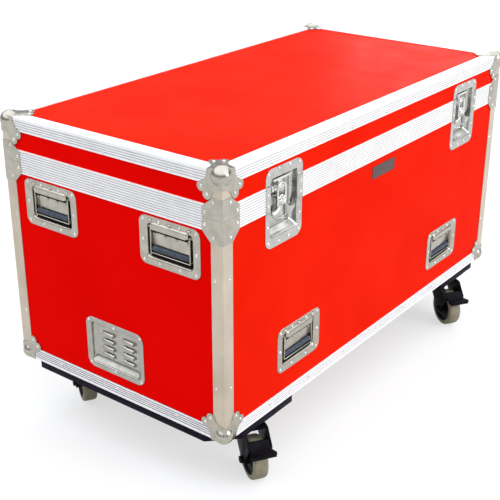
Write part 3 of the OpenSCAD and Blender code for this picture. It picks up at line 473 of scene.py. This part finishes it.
# body of the bail: side of the case, place along it, height
handlePlaces = {
    "bail_front_left": (0, -335, 131), "bail_front_right": (0, 335, 131), "bail_right_front": (1, -172, 413),
    "bail_right_back": (1, 172, 413), "bail_back_right": (2, -335, 131), "bail_back_left": (2, 335, 131),
    "bail_left_back": (3, -172, 413), "bail_left_front": (3, 172, 413),
}
bumps = {"places": (-51, 0, 51), "z": 45.5, "size": (6.5, 3.2, 3.2)}
# Raised plate behind the bail, with its studs
plate = {"half": 50.2, "depth": 6.4, "back": 17.4, "low": -8.5, "high": 23.5,
         "studs": (-45, -15, 15, 45), "studHeight": 15.2, "studSize": (3.5, 2.6, 3.3)}
hood = {
    "half": 50, "top": 42.5, "foot": 26.2, "corner": 4.4, "sheet": 1.2,
    # how far each ring steps in, and its depth
    "roll": ((0, case["trim"]), (0.1, 0.4), (0.5, -0.5), (1.5, -1.7), (2.6, -3.06), (3.6, -3.4), (4.4, -3.4)),
}
# Black strips painted as shade, in depth and height: one under the hood, a painted shadow line at its foot,
# and one that the bail closes on, a painted shadow in the gap under its lip
shadowStrips = (
    {"half": 48.5, "outline": ((0.2, 27), (0, 22), (0.9, 21.2), (1.6, 22), (1.7, 27))},
    {"half": 54.5, "outline": ((5.2, -34.6), (8, -31), (15.2, -29.6), (15.6, -30.4), (6, -35.4))},
)


# Fixed hood over the bail's tube: pressed out of the flange, its foot rolled inwards
def oneHood():
    bm = bmesh.new()
    half, foot, top, corner = hood["half"], hood["foot"], hood["top"], hood["corner"]
    faces = [roundedLoop(bm, -half + t, half - t, foot + t * 0.25, top - t * 1.25, corner, d)
             for t, d in hood["roll"]]
    pressSheet(bm, faces, hood["sheet"])
    return bm


def raisedPlate():
    bm = bmesh.new()
    runBar(bm, plate["depth"], plate["back"], plate["low"], plate["high"], plate["half"])
    bevelSharp(bm, 0.6)
    for x in plate["studs"]:
        addDome(bm, (x, plate["depth"], plate["studHeight"]), plate["studSize"])
    return bm


def oneHandleDish():
    bm = pressedDish(dishes["handle"], dishes["handle"]["sheet"])
    for x in bumps["places"]:
        addDome(bm, (x, dishes["rim"][-1][1], bumps["z"]), bumps["size"])
    bm.from_mesh(asMesh(raisedPlate()))
    bm.from_mesh(asMesh(oneHood()))
    return bm


def paintedShadowStrips():
    bm = bmesh.new()
    for shadowStrip in shadowStrips:
        runAlong(bm, shadowStrip["outline"], -shadowStrip["half"], shadowStrip["half"])
    bevelSharp(bm, 0.3)
    return bm


def handleDishes():
    dish, shadowStrip = asMesh(oneHandleDish()), asMesh(paintedShadowStrips())
    for name, wanted, node in (("sideHandleDishes", (0, 2), "side_handle_dishes"),
                               ("endHandleDishes", (1, 3), "end_handle_dishes")):
        pressed, shadowStripMesh = bmesh.new(), bmesh.new()
        for side, x, z in handlePlaces.values():
            if side in wanted:
                gatherAt(pressed, dish, sidePlace(side, x, z))
                gatherAt(shadowStripMesh, shadowStrip, sidePlace(side, x, z))
        finishPiece(pressed, name, "platedSteel", "base", node)
        # Black strips that stand in for the shade under the hood and under the bail's lip
        finishPiece(shadowStripMesh, name + "_shadow_strips", "blackPaint", "base", node)


# Vent dishes

louvre = {
    # depth and height, from the hollow's floor out to the open foot
    "outline": ((14.2, 9.9), (10.59, 7.9), (7.8, 4.56), (7.8, 0)),
    "half": 17, "sheet": 0.9, "round": 1.1, "cheek": 0.8,
    "columns": (-30.5, 30.5), "rows": 4, "lowest": -32, "pitch": 17.4,
}


def oneLouvre(x, z):
    bm = bmesh.new()
    near = [bm.verts.new((x - louvre["half"], depth, z + height)) for depth, height in louvre["outline"]]
    across = bmesh.ops.extrude_edge_only(bm, edges=[bm.edges.new(pair) for pair in zip(near, near[1:])])
    far = [item for item in across["geom"] if isinstance(item, bmesh.types.BMVert)]
    bmesh.ops.translate(bm, vec=(2 * louvre["half"], 0, 0), verts=far)
    # Cheeks close both ends back to the floor
    for end, inward in ((near, louvre["cheek"]), (sorted(far, key=lambda v: -v.co.z), -louvre["cheek"])):
        foot = bm.verts.new((end[0].co.x + inward, end[0].co.y, end[-1].co.z))
        bm.faces.new([*end, foot])
    roundOff(bm, [edge for edge in bm.edges if len(edge.link_faces) == 2], louvre["round"], 3)
    outwardFrom(bm, min(bm.faces, key=lambda face: face.calc_center_median().y))
    addShell(bm, louvre["sheet"])
    return bm


def ventDishes():
    vent = dishes["vent"]
    pressed = pressedDish(vent, vent["sheet"])
    for x in louvre["columns"]:
        for row in range(louvre["rows"]):
            pressed.from_mesh(asMesh(oneLouvre(x, louvre["lowest"] + row * louvre["pitch"])))
    part = asMesh(pressed)
    bm = bmesh.new()
    for side in (1, 3):
        gatherAt(bm, part, sidePlace(side, 0, vent["z"]))
    finishPiece(bm, "ventDishes", "ventSteel", "base", "vent_dishes")


# Latch dishes: pressed as one, stepped out over the seam trim and cut at the seam

# gap: from the step's foot to the trim; ramp: reach and lift; fade: depth over which the lift dies out;
# flat: depth down to which it is whole; play: how much higher the lid's half is cut
seamStep = {"gap": 2.6, "ramp": ((0, 0), (0.8, 0.35), (1.7, 1.25), (2.5, case["trim"])),
            "fade": 5, "flat": 0.2, "play": 0.3}


def cutAcross(bm, height, keepUp=None):
    bmesh.ops.bisect_plane(bm, geom=allOf(bm), plane_co=(0, 0, height), plane_no=(0, 0, 1), dist=0.0001,
                           clear_inner=keepUp is True, clear_outer=keepUp is False)


def stepLift(reach):
    ramp = seamStep["ramp"]
    for (near, low), (far, high) in zip(ramp, ramp[1:]):
        if near <= reach < far:
            return low + (high - low) * (reach - near) / (far - near)
    return ramp[-1][1]


def stepOverTrim(bm):
    low, high = case["bandLow"] - seamStep["gap"], case["bandHigh"] + seamStep["gap"]
    for edge, way in ((low, 1), (high, -1)):
        for reach, lift in seamStep["ramp"]:
            cutAcross(bm, edge + way * reach)
    for vert in bm.verts:
        reach = min(vert.co.z - low, high - vert.co.z)
        if reach > 0 and vert.co.y < seamStep["fade"]:
            below = max(vert.co.y - seamStep["flat"], 0)
            vert.co.y -= stepLift(reach) * (1 - below / seamStep["fade"])


def latchDishes():
    latch = dishes["latch"]
    bm = pressedDish(latch, 0)
    bmesh.ops.translate(bm, vec=(0, 0, latch["z"]), verts=bm.verts)
    stepOverTrim(bm)
    for name, body, keepUp, height, node in (
            ("latchDishesLower", "base", False, case["seam"], "latch_dishes_lower"),
            ("latchDishesUpper", "lid", True, case["seam"] + seamStep["play"], "latch_dishes_upper")):
        half = bm.copy()
        cutAcross(half, height, keepUp)
        addShell(half, latch["sheet"])
        part = asMesh(half)
        both = bmesh.new()
        for x in (-latch["x"], latch["x"]):
            gatherAt(both, part, sidePlace(0, x))
        finishPiece(both, name, "latchSteel", body, node)
    bm.free()


# Bails: a tube on the pin, two arms, a lip along the foot, and a channel that holds the grip

bail = {
    "half": 53.6, "armWidth": 2.8, "pinDepth": 7, "pinHeight": 29, "tube": 5, "bore": 3.6, "tubeEdge": 0.4,
    "gripDepth": 7.5, "gripHeight": -17.5, "gripHalf": 48.5, "gripRadius": 6.3,
    "ribPitch": 4.2, "ribDeep": 0.55, "channelPlay": 0.1, "channelWall": 1, "channelArc": range(-82, 99, 12),
    # outlines in depth and height
    "arm": ((4.4, 32), (2.4, 29), (2, 24), (2, -25.5), (12.8, -25.5), (12.8, -15), (9.4, -8.5), (9.6, 27),
            (7, 32)),
    "lip": ((1.2, -27.2), (0.9, -26.6), (0.9, -25.6), (1.3, -25), (12.7, -25), (12.9, -27.2)),
}


def bailTube():
    bm = bmesh.new()
    half, bore, tube, edge = bail["half"], bail["bore"], bail["tube"], bail["tubeEdge"]
    flank = ((half - edge, tube), (half, tube - edge), (half, bore))
    turnOnLathe(bm, closedOutline(flank), (0, bail["pinDepth"], bail["pinHeight"]), "x", 32)
    return bm


def bailArms():
    bm = bmesh.new()
    half, width = bail["half"], bail["armWidth"]
    runAlong(bm, bail["arm"], -half, width - half)
    runAlong(bm, bail["arm"], half - width, half)
    runAlong(bm, bail["lip"], -half + 0.2, half - 0.2)
    bevelSharp(bm, 0.4, 2, 40)
    return bm


def bailChannel():
    bm = bmesh.new()
    inside = bail["gripRadius"] + bail["channelPlay"]
    arc = [math.radians(turn) for turn in bail["channelArc"]]
    depth, height = bail["gripDepth"], bail["gripHeight"]
    outline = []
    for reach, turns in ((inside + bail["channelWall"], arc), (inside, arc[::-1])):
        outline += [(depth + reach * math.cos(turn), height + reach * math.sin(turn)) for turn in turns]
    reach = bail["half"] - bail["armWidth"] + 0.4
    runAlong(bm, outline, -reach, reach)
    return bm


# The grip is turned with a groove after each rib
def bailGrip():
    bm = bmesh.new()
    radius, half, pitch, deep = bail["gripRadius"], bail["gripHalf"], bail["ribPitch"], bail["ribDeep"]
    outline = [(-half, 0), (-half, radius - 0.9), (-half + 0.7, radius - 0.2)]
    x = -half + 1.6
    while x < half - pitch:
        outline += [(x, radius), (x + pitch * 0.62, radius)]
        outline += [(x + pitch * 0.75, radius - deep), (x + pitch * 0.9, radius - deep)]
        x += pitch
    outline += [(half - 0.9, radius), (half, radius - 0.9), (half, 0)]
    turnOnLathe(bm, outline, (0, bail["gripDepth"], bail["gripHeight"]), "x", 28)
    return bm


def bails():
    bar = bailTube()
    bar.from_mesh(asMesh(bailArms()))
    bar.from_mesh(asMesh(bailChannel()))
    bar, grip = asMesh(bar), asMesh(bailGrip())
    for name, (side, x, z) in handlePlaces.items():
        for part, mesh, finish, slot in (("_frame", bar, "platedSteel", "bail_steel"),
                                         ("_grip", grip, "gripRubber", "wheel_rubber")):
            bm = bmesh.new()
            gatherAt(bm, mesh, sidePlace(side, x, z))
            finishPiece(bm, name + part, finish, name, name)


# Latch works: cushioned wings, a domed rotor with a star to turn it by, and a hook with a beaded rim

# Rings are how far each one steps in, and its depth
wing = {
    "outline": ((8.2, 451.3), (14.5, 451.3), (19, 446.6), (29, 447.5), (40, 461.5), (38.5, 466), (22, 468.5),
                (14, 473), (8.2, 473)),
    "rings": ((0, 4.4), (0, 3.2), (1.2, 1.8), (2.4, 0.4), (3.2, -0.3), (3.6, -0.5)), "sheet": 0.9,
    # the barrel in height and radius, the pin it turns on, and the web that joins it to the wing
    "barrel": ((451.5, 0), (451.5, 2.2), (452.2, 2.9), (473.4, 2.9), (474.2, 2.2), (474.2, 0)),
    "pin": (11, 5.1), "web": ((0.2, 451), (0.2, 471.5), (5, 471.5), (5, 451)), "webReach": (9.4, 12.6),
}
rotor = {
    "z": 484,
    # depth and radius
    "outline": ((2.2, 0), (2.2, 2.4), (3.2, 2.6), (3.4, 3.8), (2.4, 4.4), (2.3, 6), (3.0, 8.5), (4.2, 10.6),
                (6.0, 12), (7.4, 12), (7.9, 11.2), (7.9, 0)),
    "starPoints": 6, "starOut": 12, "starIn": 8.2, "sheet": 0.9,
    "starRings": ((0, 4.4), (0, 2.0), (0.9, 0.6), (2.0, -0.4), (3.2, -0.8)),
    "stem": ((5.8, 448.3), (5.8, 482), (7.9, 482), (7.9, 448.3)), "stemHalf": 4.8,
    "bars": (448.0, 474.8), "barTall": 2.6, "barHalf": 13.4, "barDepth": (3.6, 7.2),
}
hook = {"radius": 16, "top": 524, "depth": 6.6, "bead": 2.6, "leg": 46, "thick": 1.7,
        # lower and upper edge of its two plates
        "plates": ((461.4, 484), (509, 517.5))}


# Offsets a counterclockwise outline inwards
def shrink(points, reach):
    moved = []
    for before, here, after in zip(points[-1:] + points[:-1], points, points[1:] + points[:1]):
        first = (Vector(here) - Vector(before)).normalized()
        second = (Vector(after) - Vector(here)).normalized()
        sides = Vector((-first.y, first.x)), Vector((-second.y, second.x))
        moved.append(Vector(here) + (sides[0] + sides[1]) * reach / (1 + sides[0].dot(sides[1])))
    return moved


def cushion(bm, points, rings, thickness):
    faces = []
    for reach, depth in rings:
        faces.append(bm.faces.new([bm.verts.new((x, depth, z)) for x, z in shrink(points, reach)]))
    pressSheet(bm, faces, thickness)


def oneWing(way):
    bm = bmesh.new()
    cushion(bm, [(way * x, z) for x, z in wing["outline"]][::way], wing["rings"], wing["sheet"])
    barrel = bmesh.new()
    reach, depth = wing["pin"]
    turnOnLathe(barrel, [(z, way * radius) for z, radius in wing["barrel"]], (way * reach, depth, 0), "z", 16)
    bm.from_mesh(asMesh(barrel))
    runAlong(bm, wing["web"], *sorted(way * x for x in wing["webReach"]))
    return bm


def rotorStar():
    bm = bmesh.new()
    points = []
    for i in range(2 * rotor["starPoints"]):
        reach = rotor["starIn"] if i % 2 else rotor["starOut"]
        turn = i * math.pi / rotor["starPoints"]
        points.append((reach * math.cos(turn), rotor["z"] + reach * math.sin(turn)))
    cushion(bm, points, rotor["starRings"], rotor["sheet"])
    return bm


def rotorLug():
    bm = bmesh.new()
    near, far = rotor["barDepth"]
    runAlong(bm, rotor["stem"], -rotor["stemHalf"], rotor["stemHalf"])
    for low in rotor["bars"]:
        runBar(bm, near, far, low, low + rotor["barTall"], rotor["barHalf"])
    bevelSharp(bm, 0.7, 3)
    return bm


def oneRotor():
    bm = bmesh.new()
    turnOnLathe(bm, rotor["outline"], (0, 0, rotor["z"]), "y", 36)
    bm.from_mesh(asMesh(rotorLug()))
    bm.from_mesh(asMesh(rotorStar()))
    return bm


# Beaded rim: a round bar bent over the top, with a leg down each side
def hookBead():
    bm = bmesh.new()
    radius, middle = hook["radius"], hook["top"] - hook["radius"]
    bmesh.ops.create_circle(bm, cap_ends=True, segments=12, radius=hook["bead"])
    bmesh.ops.translate(bm, vec=(radius - hook["bead"], hook["depth"] + 0.6, middle), verts=bm.verts)
    bmesh.ops.spin(bm, geom=list(bm.faces), cent=(0, 0, middle), axis=(0, -1, 0), dvec=(0, 0, 0),
                   angle=math.pi, steps=24, use_merge=False, use_duplicate=False)
    ends = [face for face in bm.faces if len(face.verts) == 12]
    for end in ends:
        drawOut(bm, end, (0, 0, -hook["leg"]))
    bmesh.ops.delete(bm, geom=[face for face in ends if face.is_valid], context="FACES_ONLY")
    return bm


def hookPlates():
    bm = bmesh.new()
    near = hook["depth"] + 0.2
    far = near + hook["thick"]
    for low, high in hook["plates"]:
        runBar(bm, near, far, low, high, hook["radius"] - 2)
    bevelSharp(bm, 0.4)
    return bm


def latchWorks():
    hooked = hookBead()
    hooked.from_mesh(asMesh(hookPlates()))
    turned, hooked = asMesh(oneRotor()), asMesh(hooked)
    for side, x in (("left", -dishes["latch"]["x"]), ("right", dishes["latch"]["x"])):
        for letter, way in (("a", -1), ("b", 1)):
            bm = bmesh.new()
            gatherAt(bm, asMesh(oneWing(way)), sidePlace(0, x))
            name = "wing_" + side + "_" + letter
            finishPiece(bm, name + "_cushioned", "latchSteel", name, name, 40)
        for part, mesh in (("rotor", turned), ("hook", hooked)):
            bm = bmesh.new()
            gatherAt(bm, mesh, sidePlace(0, x))
            name = "latch_" + part + "_" + side
            finishPiece(bm, name + "_turned", "brightSteel", homeBody(name), name, 40)


handleDishes()
ventDishes()
latchDishes()
bails()
latchWorks()
print("dishes and handles pressed")


# Rivets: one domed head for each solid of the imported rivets

rivetHead = {
    "radius": 3.8, "height": 1.7, "around": 12,
    # shares of the height and of the radius, up to the small dimple on top
    "outline": ((0, 1), (0.15, 1), (0.5, 0.9), (0.82, 0.66), (0.98, 0.34), (0.99, 0.24), (0.84, 0.18),
                (0.82, 0)),
}


def islandsOf(bm):
    left = set(bm.verts)
    while left:
        group, queue = [], [left.pop()]
        while queue:
            vert = queue.pop()
            group.append(vert.co)
            for edge in vert.link_edges:
                other = edge.other_vert(vert)
                if other in left:
                    left.remove(other)
                    queue.append(other)
        yield group


def domedHead():
    bm = bmesh.new()
    outline = [(z * rivetHead["height"], r * rivetHead["radius"]) for z, r in rivetHead["outline"]]
    turnOnLathe(bm, outline, (0, 0, 0), "z", rivetHead["around"])
    return bm


# Stands on the face that its packed rivet is thinnest through, with its head away from the case
def rivetPlace(points):
    low = Vector([min(point[i] for point in points) for i in range(3)])
    high = Vector([max(point[i] for point in points) for i in range(3)])
    size, centre = high - low, (high + low) / 2
    thin = min(range(3), key=lambda i: size[i])
    middle = (0, case["shift"] * mm, (case["ride"] + case["height"] / 2) * mm)[thin]
    out = Vector((0, 0, 0))
    out[thin] = 1 if centre[thin] > middle else -1
    foot = centre - out * (size[thin] / 2)
    return Matrix.Translation(foot) @ out.to_track_quat("Z", "Y").to_matrix().to_4x4() @ Matrix.Scale(mm, 4)


def rivets():
    head = asMesh(domedHead())
    for node, body in (("base_rivets", "base"), ("lid_rivets", "lid")):
        packed = mergedCopy(node)
        bm = bmesh.new()
        for points in islandsOf(packed):
            gatherAt(bm, head, rivetPlace(points))
        packed.free()
        finishPiece(bm, node + "_domed", "brightSteel", body, node, 60)


rivets()
print("rivets set")


# Wheels: a tread with rounded shoulders on a webbed core

wheel = {
    "radius": 50, "trail": 35, "turn": -32,
    # from the middle out to the side: place along the axle and radius
    "shoulder": ((0, 50), (8.5, 49.9), (13.4, 49.5), (15.8, 48), (17, 45.4), (17.3, 39), (17, 38)),
    "flank": ((15.4, 38), (15, 34.4), (14.6, 33.2), (12.2, 32.4), (12.2, 20.2), (14.6, 19.4), (15, 18),
              (15.4, 13.8), (22.7, 13), (23.5, 12), (23.5, 5.4)),
}
castors = {
    "x": 459, "y": 264,
    "corners": {"front_left": (-1, -1), "front_right": (1, -1), "back_right": (1, 1), "back_left": (-1, 1)},
}


def wheelPlace(corner):
    across, along = castors["corners"][corner]
    return (Matrix.Scale(mm, 4)
            @ Matrix.Translation((across * castors["x"], case["shift"] + along * castors["y"], case["ride"]))
            @ Matrix.Rotation(math.radians(wheel["turn"]), 4, "Z")
            @ Matrix.Translation((0, -wheel["trail"], wheel["radius"] - case["ride"])))


def wheels():
    tread, core = bmesh.new(), bmesh.new()
    shoulder = wheel["shoulder"]
    turnOnLathe(tread, [(-x, radius) for x, radius in shoulder[:0:-1]] + list(shoulder), (0, 0, 0), "x", 64)
    turnOnLathe(core, closedOutline(wheel["flank"]), (0, 0, 0), "x", 48)
    tread, core = asMesh(tread), asMesh(core)
    for corner in castors["corners"]:
        name = "wheel_" + corner
        for part, mesh, finish, slot in (("_tread", tread, "treadRubber", "wheel_rubber"),
                                         ("_core", core, "blackPaint", "black_steel")):
            bm = bmesh.new()
            gatherAt(bm, mesh, wheelPlace(corner))
            finishPiece(bm, name + part, finish, name, name, 40)


wheels()
print("wheels turned")


# Ribbed sections: the faces inside the rolled grooves get a darker finish than the ribs, painted shade in the
# grooves

# skin and deep: depths between which a face lies in a groove; seam: height over the seam that gets the painted
# groove shade too, as a painted shadow line along the seam
ribs = {"skin": 0.1, "deep": 1.0, "seam": {"base_seam_trim": -0.9, "lid_seam_trim": 1.2},
        "nodes": ("base_seam_trim", "lid_seam_trim", "bottom_edge_trim", "lid_edge_trim")}


def depthIn(point):
    x, y, z = (value / mm for value in point)
    fromEnd, fromSide = case["length"] / 2 - abs(x), case["width"] / 2 - abs(y - case["shift"])
    return min(fromEnd, fromSide, z - case["ride"], case["ride"] + case["height"] - z)


def ribbedTrim(node):
    bm = mergedCopy(node, 0.2)
    seam = (case["ride"] + case["seam"]) * mm
    edge = (case["ride"] + case["seam"] + ribs["seam"].get(node, 0)) * mm
    # A band over the seam gets painted shade, as the seam's shadow line
    if node in ribs["seam"]:
        bmesh.ops.bisect_plane(bm, geom=allOf(bm), plane_co=(0, 0, edge), plane_no=(0, 0, 1), dist=0.0000001)
    for face in bm.faces:
        middle = face.calc_center_median()
        inGroove = ribs["skin"] < depthIn(middle) < ribs["deep"]
        face.material_index = int(inGroove or abs(middle.z - seam) < abs(edge - seam))
        # Painted shade: the grooves of the bottom trim are darkest on the ends of the case
        if node == "bottom_edge_trim" and inGroove and abs(face.normal.y) < 0.5 and abs(middle.x) > 0.5:
            face.material_index = 2
    piece = finishPiece(bm, node + "_ribbed", "ribbedAluminium", homeBody(node), node)
    piece.data.materials.append(finishes["paintedGrooveShade"])
    piece.data.materials.append(finishes["paintedDeepGrooveShade"])


for nodeName in ribs["nodes"]:
    ribbedTrim(nodeName)
print("ribs shaded")


# Hardware with rounded edges

# nodes: width of the rounded edge, its segments, and the angle from which an edge is rounded
rounding = {
    ("base_ball_corners", "lid_ball_corners"): (0.9, 3, 28),
    ("base_corner_braces", "lid_corner_braces"): (1.0, 3, 30),
    ("latch_backing_plates",): (0.4, 2, 30),
    ("latch_keepers",): (0.9, 3, 30),
    ("hinge_leaves_base", "hinge_leaves_lid"): (0.4, 1, 40),
    ("castor_boards",): (1.2, 2, 30),
    ("castor_plates",): (0.6, 2, 40),
    ("fork_front_left", "fork_front_right", "fork_back_left", "fork_back_right"): (0.8, 2, 40),
    ("pedal_left", "pedal_right"): (0.8, 2, 40),
    ("label_plate",): (0.3, 1, 40),
}


# Edges at the seam stay sharp, so that base and lid still meet
def roundEdges(node, width, segments, angle):
    bm = mergedCopy(node)
    seam = (case["ride"] + case["seam"]) * mm
    away = [edge for edge in sharpEdges(bm, angle)
            if max(abs(vert.co.z - seam) for vert in edge.verts) > 0.6 * mm]
    roundOff(bm, away, width * mm, segments)
    finishPiece(bm, node + "_rounded", nodeFinish[node], homeBody(node), node, 40)


for nodeNames, roundedEdge in rounding.items():
    for nodeName in nodeNames:
        roundEdges(nodeName, *roundedEdge)
print("edges rounded")
